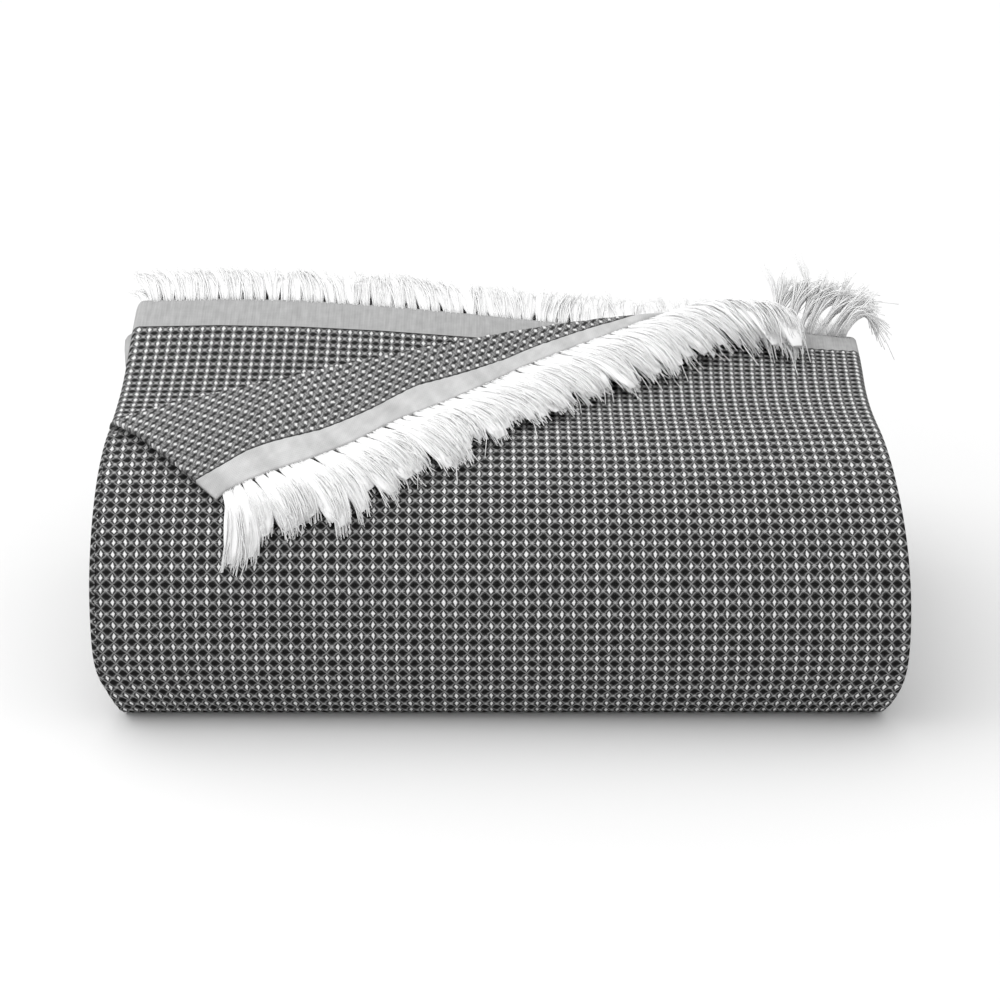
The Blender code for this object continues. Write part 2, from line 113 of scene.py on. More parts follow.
EDGE_GAP = 0.0004  # between the cloth's edge and its fringe
LOCK_LENGTH = 0.055
FRONT_LOCKS = (
    # root x, then of the tip and of the knee: ways right and down as shares of the length, and
    # height over the middle of the ply that it starts from. The first three rows and those from
    # x 0.098 on are the scene's own.
    (-0.206, -0.04, 0.70, 0.0050, 0.03, 0.36, 0.0068),
    (-0.196, 0.14, 0.66, 0.0050, 0.12, 0.34, 0.0070),
    (-0.180, 0.36, 0.62, 0.0050, 0.24, 0.31, 0.0072),
    (-0.150, 0.50, 0.58, 0.0050, 0.30, 0.26, 0.0074),
    (-0.095, 0.54, 0.66, 0.0050, 0.32, 0.30, 0.0082),
    (-0.003, 0.62, 0.70, 0.0054, 0.36, 0.33, 0.0110),
    (0.060, 0.68, 0.70, 0.0060, 0.38, 0.26, 0.0140),
    (0.098, 0.78, 0.72, 0.0065, 0.38, 0.18, 0.0150),
    (0.111, 0.74, 0.90, 0.0062, 0.36, 0.22, 0.0160),
    (0.128, 0.62, 1.04, 0.0058, 0.32, 0.26, 0.0175),
    (0.1445, 0.48, 1.06, 0.0056, 0.27, 0.30, 0.0180),
    (0.156, 0.34, 1.02, 0.0056, 0.22, 0.30, 0.0150),
    (0.160, 0.26, 0.94, 0.0056, 0.18, 0.28, 0.0130),
    (0.162, 0.26, -0.58, 0.0280, 0.10, -0.26, 0.0170),
    (0.185, 0.54, -0.48, 0.0275, 0.23, -0.22, 0.0170),
    (0.198, 0.64, -0.24, 0.0200, 0.30, -0.14, 0.0160),
    (0.206, 0.62, 0.04, 0.0040, 0.31, -0.02, 0.0110),
)

# ---- The weave ----

CELL_U = 0.0060  # of the waffle, across
CELLS_ALONG = (
    # from the cloth's end, pitch of the waffle along there: longer where it lies drawn over the top
    (0.000, 0.0067),
    (0.165, 0.0067),
    (0.205, 0.0056),
)
ALONG_STEP = 0.001  # for adding up the cells
VIEW_PITCH = math.radians(22.0)  # the turned corner's cells are counted as seen from this far up
FLAP_CELL = 0.0051  # along it
FLAP_ROW = 0.0044  # from row to row, as seen so
FLAP_LEAN = 0.34  # of its columns to the right
BAND = 0.028  # plain-woven band at each end
SHEET = 0.0023  # thickness of the woven sheet
RELIEF = 0.00035  # how far its ridges stand out, and its hollows in
FLAP_BAND = (
    # x on the turned end, height of the band there, seen so
    (-0.145, 0.0195),
    (-0.100, 0.0150),
    (-0.050, 0.0175),
    (0.000, 0.0108),
    (0.050, 0.0088),
    (0.085, 0.0055),
    (0.105, 0.0035),
)


def smooth(t):
    """A soft step: 0 below 0, 1 above 1."""
    t = min(max(t, 0.0), 1.0)
    return t * t * (3.0 - 2.0 * t)


def arch(t):
    """0 at 0 and at 1, and 1 halfway."""
    return math.sin(math.pi * min(max(t, 0.0), 1.0))


def from_table(table, at):
    """The row of a table at a value of its first column, read between its rows."""
    if at <= table[0][0]:
        return table[0][1:]
    for a, b in zip(table, table[1:]):
        if at <= b[0]:
            share = (at - a[0]) / (b[0] - a[0])
            return tuple(p + (q - p) * share for p, q in zip(a[1:], b[1:]))
    return table[-1][1:]


def level(number):
    """Height of the middle of a packet, counted from 1 at the bottom."""
    return LOWEST_PACKET + (number - 1) * PACKET_PITCH


def outward(dy, dz):
    """The unit normal on the outer side of a line that runs along (dy, dz)."""
    size = math.hypot(dy, dz)
    return dz / size, -dy / size


def turn(row):
    """Points of one turn: (y, z, normal y, normal z)."""
    first, last, y, height, run_in, run_out = row
    z = level(1 + height)
    side = math.copysign(1.0, y)
    points = []
    for k in range(TURN_STEPS):
        a = k / TURN_STEPS * math.pi / 2
        rise = level(first) - z
        at = (y - side * run_in * (1.0 - math.sin(a)), z + rise * math.cos(a))
        points.append(at + outward(side * run_in * math.cos(a), -rise * math.sin(a)))
    for k in range(TURN_STEPS):
        a = k / TURN_STEPS * math.pi / 2
        rise = level(last) - z
        at = (y - side * run_out * (1.0 - math.cos(a)), z + rise * math.sin(a))
        points.append(at + outward(-side * run_out * math.sin(a), rise * math.cos(a)))
    return points


def section():
    """The middle line of the packets as lists of v and of (y, z, normal y, normal z)."""
    points = []
    y = BACK_Y
    for row in TURNS:
        side = math.copysign(1.0, row[2])
        points.append((y, level(row[0])) + outward(side, 0.0))
        points += turn(row)
        y = row[2] - side * row[5]
    way = math.copysign(1.0, FAR_END_Y - y)
    points.append((y, level(TURNS[-1][1])) + outward(way, 0.0))
    points.append((FAR_END_Y,) + points[-1][1:])
    along = [0.0]
    for a, b in zip(points, points[1:]):
        along.append(along[-1] + math.hypot(b[0] - a[0], b[1] - a[1]))
    return along, points


ALONG, MIDDLE_LINE = section()
LENGTH = ALONG[-1]


def settle(x, y, z):
    """Moves a place as the soft stack gives there, and keeps the underside flat."""
    dx = dy = dz = 0.0
    for px, py, pz, sx, sy, sz, mx, my, mz in HOLLOWS:
        far = ((x - px) / sx) ** 2 + ((y - py) / sy) ** 2 + ((z - pz) / sz) ** 2
        near = math.exp(-far)
        dx += near * mx
        dy += near * my
        dz += near * mz * z / HEIGHT
    return Vector((x + dx, y + dy, z + dz))


def place(x, v, n):
    """The world place at x, at length v along the middle line, and n out from it."""
    i = min(max(bisect_right(ALONG, v), 1), len(ALONG) - 1)
    size = ALONG[i] - ALONG[i - 1]
    share = (v - ALONG[i - 1]) / size if size > 0.0 else 0.0
    a, b = MIDDLE_LINE[i - 1], MIDDLE_LINE[i]
    y, z, ny, nz = (p + (q - p) * share for p, q in zip(a, b))
    first, second = RAGGED_WAVES
    wander = 1.0 + math.sin(v * first + 1.0) + SECOND_WAVE * (1.0 + math.sin(v * second))
    x -= x / FOLD_X * RAGGED * wander * smooth((v - RAGGED_FROM) / RAGGED_OVER)
    return settle(x, y + n * ny, z + n * nz)


# ---- The turned corner ----


def ridge_frame():
    """The fold line's unit vectors along and across, and the corner's shrink and shear."""
    along = (Vector(RIDGE_RIGHT) - Vector(RIDGE_LEFT)).normalized()
    across = Vector((-along.y, along.x))
    corner = Vector((-FREE_X, 0.0)) - Vector(RIDGE_LEFT)
    lies = Vector(CORNER_LIES) - Vector(RIDGE_LEFT)
    depth = -corner.dot(across)
    shrink = (lies.dot(across) + math.pi * RIDGE_RADIUS) / depth
    shear = (lies.dot(along) - corner.dot(along)) / depth
    return along, across, shrink, shear


RIDGE_LENGTH = (Vector(RIDGE_RIGHT) - Vector(RIDGE_LEFT)).length
RIDGE_ALONG, RIDGE_ACROSS, CORNER_SHRINK, CORNER_SHEAR = ridge_frame()


def ridge_lift(s, w):
    """How far both sheets stand off the packet, w from the fold at s along it."""
    share = max(s / RIDGE_LENGTH, 0.0) ** LIFT_POWER
    return RIDGE_LIFT * arch(share) * smooth(1.0 - abs(w) / RIDGE_REACH)


def give(share):
    """Depth of the turned part at a share of the fold's length, against that at its corner."""
    filled = FILL * smooth((share - FILL_FROM) / (FILL_TO - FILL_FROM))
    return 1.0 + filled + DRAWN * max(share - DRAWN_FROM, 0.0) ** DRAWN_POWER


def turned(x, v):
    """How far a place on the flat cloth is past the fold, drawn together: (s, depth)."""
    from_left = Vector((x, v)) - Vector(RIDGE_LEFT)
    s = from_left.dot(RIDGE_ALONG)
    depth = -from_left.dot(RIDGE_ACROSS)
    if depth <= 0.0:
        return s, depth
    s += CORNER_SHEAR * depth
    return s, depth * CORNER_SHRINK * give(s / RIDGE_LENGTH)


def upper_ply(x, v, h=0.0):
    """Where a place on the uppermost ply lies, as x, v and n; h is a height on its face."""
    s, depth = turned(x, v)
    if depth <= 0.0:
        return Vector((x, v, PLY_PITCH + h + ridge_lift(s, depth)))
    bend = depth / RIDGE_RADIUS
    if bend < math.pi:
        w = -(RIDGE_RADIUS - h) * math.sin(bend)
        n = RIDGE_RADIUS - (RIDGE_RADIUS - h) * math.cos(bend)
    else:
        w = depth - math.pi * RIDGE_RADIUS
        fall = smooth(w / RIDGE_REACH)
        n = 2 * RIDGE_RADIUS + (FLAP_HEIGHT - 2 * RIDGE_RADIUS) * fall - h
    at = Vector(RIDGE_LEFT) + s * RIDGE_ALONG + w * RIDGE_ACROSS
    return Vector((at.x, at.y, PLY_PITCH + n + ridge_lift(s, w)))


# ---- Mesh of the cloth ----


def count_cells():
    """Places along the cloth, and how many cells of the waffle lie before each, from its band on."""
    places = [k * ALONG_STEP for k in range(round(LENGTH / ALONG_STEP) + 2)]
    counts = [0.0]
    for at in places[1:]:
        counts.append(counts[-1] + ALONG_STEP / from_table(CELLS_ALONG, at)[0])
    first = float(np.interp(BAND, places, counts))
    return places, [count - first for count in counts]


CELL_PLACES, CELL_COUNTS = count_cells()

FINE_U = CELL_U / 2
ROW_STEP = 0.003  # between the rows that may be made past the fine ones
FINE_END = 0.3355  # up to here the uppermost ply shows, and its grid is fine
EVERY = 9  # fine columns to one coarse one
INNER_STEPS = 9  # across each ply inside the packet
SIDE_STEPS = 6  # round a side fold
LONGEST_ROW = 0.0122
SHARPEST_ROW = math.radians(11.0)
CURL_STEPS = 10  # cuts along the turned corner's fold, one after the other
CURL_ROWS = 3  # rows past the fold's left end that are cut with the others
SLIVER = 0.0003  # points closer than this become one
NEARLY = 1e-6  # for telling one column or line from the next
UPPER_WIDTH = FREE_X + FOLD_X  # of the uppermost ply, up to its side fold
CLEAR_OF_CORNER = 0.1  # x of a place on top where the cloth isn't turned
FACE_SIDE, TURNED_SIDE = 0, 2  # material slots; the sheet's other side has the next one


def columns():
    """The packet's cross line from the upper ply's free side on: (x, n, u, only in fine rows)."""
    steps = round(UPPER_WIDTH / FINE_U)
    made = []
    for k in range(steps):
        x = -FREE_X + UPPER_WIDTH * k / steps
        made.append((x, PLY_PITCH, k % EVERY != 0))
    for k in range(SIDE_STEPS):
        a = math.pi * k / SIDE_STEPS
        x = FOLD_X + SIDE_RADIUS * math.sin(a)
        made.append((x, SIDE_RADIUS * (1 + math.cos(a)), False))
    for k in range(INNER_STEPS):
        made.append((FOLD_X - 2 * FOLD_X * k / INNER_STEPS, 0.0, False))
    for k in range(SIDE_STEPS):
        a = math.pi * k / SIDE_STEPS
        x = -FOLD_X - SIDE_RADIUS * math.sin(a)
        made.append((x, SIDE_RADIUS * (math.cos(a) - 1), False))
    for k in range(INNER_STEPS + 1):
        x = -FOLD_X + UPPER_WIDTH * k / INNER_STEPS
        made.append((x, -PLY_PITCH, False))
    u = [0.0]
    for a, b in zip(made, made[1:]):
        u.append(u[-1] + math.hypot(b[0] - a[0], b[1] - a[1]))
    return [(x, n, at, only) for (x, n, only), at in zip(made, u)]


def direction(v):
    """The angle of the middle line's normal at v."""
    i = min(max(bisect_right(ALONG, v), 1), len(ALONG) - 1)
    return math.atan2(MIDDLE_LINE[i][3], MIDDLE_LINE[i][2])


def rows():
    """The v of every row: close where the uppermost ply shows, and then as the bends ask."""
    first = math.ceil(2.0 * CELL_COUNTS[0])
    last = math.ceil(2.0 * float(np.interp(FINE_END, CELL_PLACES, CELL_COUNTS)))
    made = [0.0]
    for k in range(first + 1, last):
        made.append(float(np.interp(k / 2.0, CELL_COUNTS, CELL_PLACES)))
    fine = len(made)
    at = made[-1]
    while at < LENGTH - ROW_STEP:
        at += ROW_STEP
        swing = abs((direction(at) - direction(made[-1]) + math.pi) % (2 * math.pi) - math.pi)
        if at - made[-1] > LONGEST_ROW or swing > SHARPEST_ROW:
            made.append(at)
    made.append(LENGTH)
    return made, fine


def cut_flat(bm, faces, point, normal):
    """Cuts flat faces along a line, and returns the faces that they become."""
    geom = set(faces)
    for face in faces:
        geom.update(face.edges)
        geom.update(face.verts)
    made = bmesh.ops.bisect_plane(
        bm, geom=list(geom), dist=NEARLY, plane_co=point.to_3d(), plane_no=normal.to_3d()
    )
    return [item for item in made["geom"] if isinstance(item, bmesh.types.BMFace)]


def past_fold(point):
    """How far a flat place is past the fold line of the corner."""
    return -(Vector((point.x - FREE_X, point.y)) - Vector(RIDGE_LEFT)).dot(RIDGE_ACROSS)


def flat_cloth():
    """The flat cloth as a bmesh in (u, v), cut where its corner folds, with a fine upper ply."""
    bm = bmesh.new()
    cols = columns()
    marks, fine = rows()
    grid = []
    for j, v in enumerate(marks):
        row = []
        for _, _, u, only in cols:
            row.append(None if only and j >= fine else bm.verts.new((u, v, 0.0)))
        grid.append(row)
    upper = []
    for j, (row, below) in enumerate(zip(grid, grid[1:])):
        there = [k for k, vert in enumerate(below) if vert]
        for a, b in zip(there, there[1:]):
            face = bm.faces.new([row[k] for k in range(a, b + 1) if row[k]] + [below[b], below[a]])
            by_fold = marks[j] < RIDGE_LEFT[1] + CURL_ROWS * ROW_STEP
            if by_fold and cols[b][2] <= UPPER_WIDTH + NEARLY:
                upper.append(face)
    left = Vector((0.0, RIDGE_LEFT[1]))
    curl = math.pi * RIDGE_RADIUS / CORNER_SHRINK
    for k in range(CURL_STEPS + 1):
        at_left = curl * k / CURL_STEPS
        at_right = at_left / give(1.0)
        way = RIDGE_LENGTH * RIDGE_ALONG + (at_left - at_right) * RIDGE_ACROSS
        across = Vector((-way.y, way.x)).normalized()
        upper = cut_flat(bm, upper, left - RIDGE_ACROSS * at_left, across)
    bmesh.ops.remove_doubles(bm, verts=bm.verts, dist=SLIVER)
    flap = [f for f in bm.faces if past_fold(f.calc_center_median()) > curl and on_upper(f)]
    edges = list({e for f in flap for e in f.edges})
    bmesh.ops.subdivide_edges(bm, edges=edges, cuts=1, use_grid_fill=True)
    return bm, cols


def on_upper(face):
    """Whether a flat face is on the uppermost ply."""
    return face.calc_center_median().x < UPPER_WIDTH


def seen(at):
    """Height of a world place as seen from the view's pitch."""
    return at.z * math.cos(VIEW_PITCH) + at.y * math.sin(VIEW_PITCH)


END_STEPS = 120
END_SHORT = 0.012  # how far short of the fold's right end the line stops
SLOPE_STEPS = 6  # steps at each end that give the line's slope past it
FOOT_ROUNDS = 3  # each brings a place's foot on the line closer to where it is


def end_line():
    """The cloth's end on the turned corner: its places x, and its heights as seen there."""
    places = []
    for k in range(END_STEPS + 1):
        x = -FREE_X + (RIDGE_RIGHT[0] + FREE_X - END_SHORT) * k / END_STEPS
        places.append(place(*upper_ply(x, 0.0)))
    return [at.x for at in places], [seen(at) for at in places]


END_X, END_SEEN = end_line()


def end_slope(a, b):
    """Slope of the turned end as seen, from one of its places to another."""
    return (END_SEEN[b] - END_SEEN[a]) / (END_X[b] - END_X[a])


def end_at(x):
    """Height as seen of the turned end at x, carried on past its two ends."""
    at = float(np.interp(x, END_X, END_SEEN))
    if x < END_X[0]:
        at -= (END_X[0] - x) * end_slope(0, SLOPE_STEPS)
    if x > END_X[-1]:
        at += (x - END_X[-1]) * end_slope(-1 - SLOPE_STEPS, -1)
    return at


def flap_weave(at):
    """Weave coordinates and distance from the end of a world place on the turned corner."""
    foot = at.x
    above = 0.0
    for _ in range(FOOT_ROUNDS):
        above = seen(at) - end_at(foot)
        foot = at.x - FLAP_LEAN * above
    band = from_table(FLAP_BAND, foot)[0]
    return foot / FLAP_CELL, (above - band) / FLAP_ROW, above * BAND / band


def weave_at(point, on_flap):
    """Weave coordinates in cells, and the distance from the cloth's end, of a flat place."""
    if on_flap:
        return flap_weave(place(*upper_ply(point.x - FREE_X, point.y)))
    u, v = point.x, point.y
    return u / CELL_U, float(np.interp(v, CELL_PLACES, CELL_COUNTS)), min(v, LENGTH - v)


def relief(cell):
    """Height of the waffle's ridges over its hollows at weave coordinates, from -1 to 1."""
    cu, cv, end = cell
    if end < BAND:
        return 0.0
    x = abs(cu - math.floor(cu) - 0.5)
    y = abs(cv - math.floor(cv) - 0.5)
    return 1.0 - 4.0 * abs(x + y - 0.5)


def upmost(bm):
    """A face on top of the folded cloth, right of its turned corner."""

    def rank(face):
        at = face.calc_center_median()
        return at.z - abs(at.x - CLEAR_OF_CORNER)

    return max(bm.faces, key=rank)


def cloth():
    """The whole cloth as one folded sheet with its weave coordinates."""
    bm, cols = flat_cloth()
    weave = bm.loops.layers.uv.new("weave")
    ends = bm.loops.layers.uv.new("ends")
    heights = {}
    for face in bm.faces:
        flap = on_upper(face) and past_fold(face.calc_center_median()) > 0.0
        face.material_index = TURNED_SIDE if flap else FACE_SIDE
        for loop in face.loops:
            cell = weave_at(loop.vert.co, flap)
            loop[weave].uv = cell[:2]
            loop[ends].uv = (cell[2], 1.0 if flap else 0.0)
            heights[loop.vert] = relief(cell)
    widths = [c[2] for c in cols]
    for vert in bm.verts:
        u, v = vert.co.x, vert.co.y
        h = RELIEF * heights.get(vert, 0.0)
        if u < UPPER_WIDTH + NEARLY:
            x, v, n = upper_ply(u - FREE_X, v, h)
        else:
            k = min(bisect_right(widths, u + NEARLY), len(widths) - 1)
            share = (u - widths[k - 1]) / (widths[k] - widths[k - 1])
            x, n = Vector(cols[k - 1][:2]).lerp(Vector(cols[k][:2]), share)
        vert.co = place(x, v, n)
    bmesh.ops.recalc_face_normals(bm, faces=bm.faces)
    if upmost(bm).normal.z < 0.0:
        bmesh.ops.reverse_faces(bm, faces=bm.faces)
    for face in bm.faces:
        face.smooth = True
    mesh = bpy.data.meshes.new("blanket_cloth")
    bm.to_mesh(mesh)
    bm.free()
    made = bpy.data.objects.new("blanket_cloth", mesh)
    bpy.context.scene.collection.objects.link(made)
    solid = made.modifiers.new("thickness", "SOLIDIFY")
    solid.thickness = SHEET
    solid.offset = 0.0
    solid.use_even_offset = True
    solid.material_offset = 1
    solid.material_offset_rim = 1
    return made


# ---- Materials ----

CELL_SWAY = 0.05  # how far a cell lies from its place, in cells
WEAVE_DEPTH = 0.0006  # of the bump that adds to the ridges
CLOTH_ROUGH = 0.92

# The band at each end: tones are shares of white, and widths are in the "ends" layer's metres
BAND_YARNS = 4.0  # to one cell
# the band away from the turned corner is painted darker than the turned one: painted shade
SHADED_BAND_TONE = 0.375
FLAP_BAND_TONE = 0.525
BAND_SLANT = 0.85  # of the painted crease shade on the turned corner, in cells along for one across
BAND_EDGE = 0.0002  # softness, to each side
SEAM_WIDTH, FLAP_SEAM_WIDTH = 0.0016, 0.0034  # of the dark line between band and waffle
SEAM_MIDDLE = 0.0005
SEAM_SHARE, SEAM_GREY = 0.8, 40
BAND_YARN_HEIGHT = 0.25

# The waffle's face: sizes are half-axes in cells, and greys are screen values from 0 to 255.
# Where there is a pair, the first is over the front fold and the second on top, and the one
# changes into the other between these distances from the cloth's end. A third size is the
# softness of the edge, and a rise is a share of the bump's depth.
FRONT_FROM, TOP_TO = 0.235, 0.155
FACE_GROUND = (58, 70)
FACE_RIDGE = (138, 134)
FACE_RIDGE_WIDTH = (0.125, 0.03)  # outer and inner edge of its soft side
FACE_HOLE = (12, 24)
FACE_HOLE_SIZE = (0.37, 0.27, 0.22)
FACE_CROSSING = 176
FACE_CROSSING_WIDE, FACE_CROSSING_HIGH, FACE_CROSSING_SOFT = 0.20, (0.15, 0.20), 0.5
FACE_DOT = (240, 226)
FACE_DOT_WIDE, FACE_DOT_HIGH, FACE_DOT_SOFT = (0.165, 0.19), (0.30, 0.37), 0.28
FACE_FUZZ = (0.26, 78)  # largest share, and grey
FACE_YARNS = 11.0  # to one cell
FACE_RIDGE_RISE, FACE_DOT_RISE, FACE_YARN_RISE = 0.8, 0.6, 0.12

# The waffle's other side, which shows on the turned corner
# the black dashes are painted shade, in the hollow just above each white float
REVERSE_GROUND, REVERSE_RIDGE, REVERSE_LINE, REVERSE_HOLLOW_SHADE, REVERSE_DOT = 96, 142, 156, 34, 226
REVERSE_RIDGE_WIDTH = (0.12, 0.02)
REVERSE_LINE_SIZE = (0.15, 0.36, 0.40)
REVERSE_HOLLOW_SHADE_SIZE = (0.38, 0.31, 0.34)
REVERSE_DOT_SIZE = (0.54, 0.21, 0.40)  # along its slant and across it
REVERSE_FUZZ = (0.30, 100)
REVERSE_LINE_RISE, REVERSE_DOT_RISE = 0.6, 0.9

# The fringe's cotton
COTTON_CLOUDS, COTTON_FUZZ = 160.0, 1600.0  # for each metre
COTTON_DEPTH, COTTON_STRENGTH = 0.0004, 0.5


class Graph:
    """Builds a material's nodes from short calls."""

    def __init__(self, name, **settings):
        self.material = bpy.data.materials.new(name)
        self.material.use_nodes = True
        self.tree = self.material.node_tree
        self.shader = self.tree.nodes["Principled BSDF"]
        for key, value in settings.items():
            socket = key.replace("_", " ").title().replace("Ior", "IOR")
            self.shader.inputs[socket].default_value = value

    def node(self, kind, **settings):
        """A new shader node."""
        made = self.tree.nodes.new("ShaderNode" + kind)
        for key, value in settings.items():
            setattr(made, key, value)
        return made

    def feed(self, socket, value):
        """Links a node's output to a socket, or sets the socket to a plain value."""
        if isinstance(value, bpy.types.NodeSocket):
            self.tree.links.new(value, socket)
        else:
            socket.default_value = value

    def calc(self, operation, *values):
        """The result of one sum."""
        made = self.node("Math", operation=operation)
        for socket, value in zip(made.inputs, values):
            self.feed(socket, value)
        return made.outputs[0]

    def step(self, value, low, high):
        """0 at low and 1 at high, with a soft way between."""
        made = self.node("MapRange", interpolation_type="SMOOTHSTEP")
        self.feed(made.inputs["Value"], value)
        self.feed(made.inputs["From Min"], low)
        self.feed(made.inputs["From Max"], high)
        return made.outputs["Result"]

    def grade(self, value, low, high, to_low, to_high):
        """to_low at low and to_high at high, and straight between."""
        made = self.node("MapRange")
        self.feed(made.inputs["Value"], value)
        self.feed(made.inputs["From Min"], low)
        self.feed(made.inputs["From Max"], high)
        self.feed(made.inputs["To Min"], to_low)
        self.feed(made.inputs["To Max"], to_high)
        return made.outputs["Result"]

    def mix(self, factor, a, b):
        """Colour a where the factor is 0, and colour b where it is 1."""
        made = self.node("Mix", data_type="RGBA")
        self.feed(made.inputs[0], factor)
        self.feed(made.inputs[6], a if isinstance(a, bpy.types.NodeSocket) else (*a, 1.0))
        self.feed(made.inputs[7], b if isinstance(b, bpy.types.NodeSocket) else (*b, 1.0))
        return made.outputs[2]

    def noise(self, vector, scale, detail):
        """Soft noise about 0.5."""
        made = self.node("TexNoise")
        self.feed(made.inputs["Vector"], vector)
        self.feed(made.inputs["Scale"], scale)
        self.feed(made.inputs["Detail"], detail)
        return made.outputs["Fac"]

    def patchy(self, vector, scale, detail, seen, tones):
        """Noise whose values between the two seen ones give tones between these two."""
        return self.grade(self.noise(vector, scale, detail), *seen, *tones)

    def stretched(self, x, y, by_x, by_y):
        """A vector of two values, each with its own scale."""
        made = self.node("CombineXYZ")
        self.feed(made.inputs[0], self.calc("MULTIPLY", x, by_x))
        self.feed(made.inputs[1], self.calc("MULTIPLY", y, by_y))
        return made.outputs[0]

    def uv(self, name):
        """The UV layer of this name."""
        return self.node("UVMap", uv_map=name).outputs[0]

    def split(self, vector):
        """The first two parts of a vector."""
        made = self.node("SeparateXYZ")
        self.feed(made.inputs[0], vector)
        return made.outputs[0], made.outputs[1]


def grey(value):
    """A linear grey from an 8-bit screen value."""
    s = value / 255.0
    s = s / 12.92 if s <= 0.04045 else ((s + 0.055) / 1.055) ** 2.4
    return (s, s, s)


def rhomb(g, x, y, width, height, soft):
    """1 inside a rhomb with these half-axes about x = y = 0, and 0 outside."""
    far = g.calc("ADD", g.calc("DIVIDE", x, width), g.calc("DIVIDE", y, height))
    return g.step(far, 1.0 + soft, 1.0 - soft)


def cell_places(g):
    """Places in a waffle cell from its middle, and their sizes."""
    where = g.uv("weave")
    cu, cv = g.split(where)
    sway = (-CELL_SWAY, CELL_SWAY)
    sway_u = g.patchy(where, 1.7, 2.0, (0.3, 0.7), sway)
    sway_v = g.patchy(where, 1.3, 2.0, (0.3, 0.7), sway)
    x = g.calc("SUBTRACT", g.calc("FRACT", g.calc("ADD", cu, sway_u)), 0.5)
    y = g.calc("SUBTRACT", g.calc("FRACT", g.calc("ADD", cv, sway_v)), 0.5)
    return x, y, g.calc("ABSOLUTE", x), g.calc("ABSOLUTE", y)


def threads(g, per_cell):
    """Fine crossing yarns as a height from 0 to 1."""
    cu, cv = g.split(g.uv("weave"))
    waves = []
    for at in (cu, cv):
        wave = g.calc("SINE", g.calc("MULTIPLY", at, per_cell * 2.0 * math.pi))
        waves.append(g.grade(wave, -1.0, 1.0, 0.0, 1.0))
    return g.calc("MULTIPLY", g.calc("ADD", *waves), 0.5)


def ridges(g, ax, ay, width):
    """1 along a cell's ridges, which run slantwise half a cell from its middle."""
    far = g.calc("ABSOLUTE", g.calc("SUBTRACT", g.calc("ADD", ax, ay), 0.5))
    return g.step(far, *width)


def fuzzy(g, colour, most, fuzz):
    """Lays loose fibres of another grey over a colour, up to a share of it."""
    share = g.patchy(g.uv("weave"), 9.0, 3.0, (0.35, 0.75), (0.0, most))
    return g.mix(share, colour, grey(fuzz))


def finish_cloth(g, colour, height):
    """Puts colour and bump on the shader."""
    g.feed(g.shader.inputs["Base Color"], colour)
    bump = g.node("Bump")
    g.feed(bump.inputs["Height"], height)
    g.feed(bump.inputs["Distance"], WEAVE_DEPTH)
    g.feed(bump.inputs["Strength"], 1.0)
    g.feed(g.shader.inputs["Normal"], bump.outputs[0])


def band_over(g, colour, height):
    """Lays the plain-woven light band over colour and height near the cloth's ends."""
    end, on_flap = g.split(g.uv("ends"))
    where = g.uv("weave")
    cu, cv = g.split(where)
    plain = threads(g, BAND_YARNS)
    slant = g.calc("ADD", cu, g.calc("MULTIPLY", cv, BAND_SLANT))
    # painted shade: darker slanting streaks where the turned band creases
    crease_shade = g.patchy(g.stretched(slant, cv, 0.40, 0.05), 1.0, 2.0, (0.32, 0.58), (0.82, 1.04))
    lines = g.patchy(g.stretched(cu, cv, 3.2, 0.25), 1.0, 2.0, (0.3, 0.7), (0.90, 1.08))
    cloudy = g.patchy(where, 0.9, 4.0, (0.3, 0.7), (0.92, 1.06))
    tone = g.calc("MULTIPLY", g.grade(plain, 0.0, 1.0, 0.95, 1.04), cloudy)
    flap_tone = g.calc("MULTIPLY", g.calc("MULTIPLY", tone, crease_shade), FLAP_BAND_TONE)
    # painted shade: the band away from the turned corner is darker than the turned one
    shaded_back_tone = g.calc("MULTIPLY", g.calc("MULTIPLY", tone, lines), SHADED_BAND_TONE)
    grey_tone = g.grade(on_flap, 0.0, 1.0, shaded_back_tone, flap_tone)
    band = g.mix(grey_tone, grey(0), grey(255))
    inside = g.step(end, BAND + BAND_EDGE, BAND - BAND_EDGE)
    seam_width = g.grade(on_flap, 0.0, 1.0, SEAM_WIDTH, FLAP_SEAM_WIDTH)
    seam = g.step(g.calc("ABSOLUTE", g.calc("SUBTRACT", end, BAND)), seam_width, SEAM_MIDDLE)
    colour = g.mix(g.calc("MULTIPLY", seam, SEAM_SHARE), colour, grey(SEAM_GREY))
    colour = g.mix(inside, colour, band)
    low = g.calc("MULTIPLY", plain, BAND_YARN_HEIGHT)
    outside = g.calc("SUBTRACT", 1.0, inside)
    height = g.calc("ADD", g.calc("MULTIPLY", height, outside), g.calc("MULTIPLY", low, inside))
    return colour, height


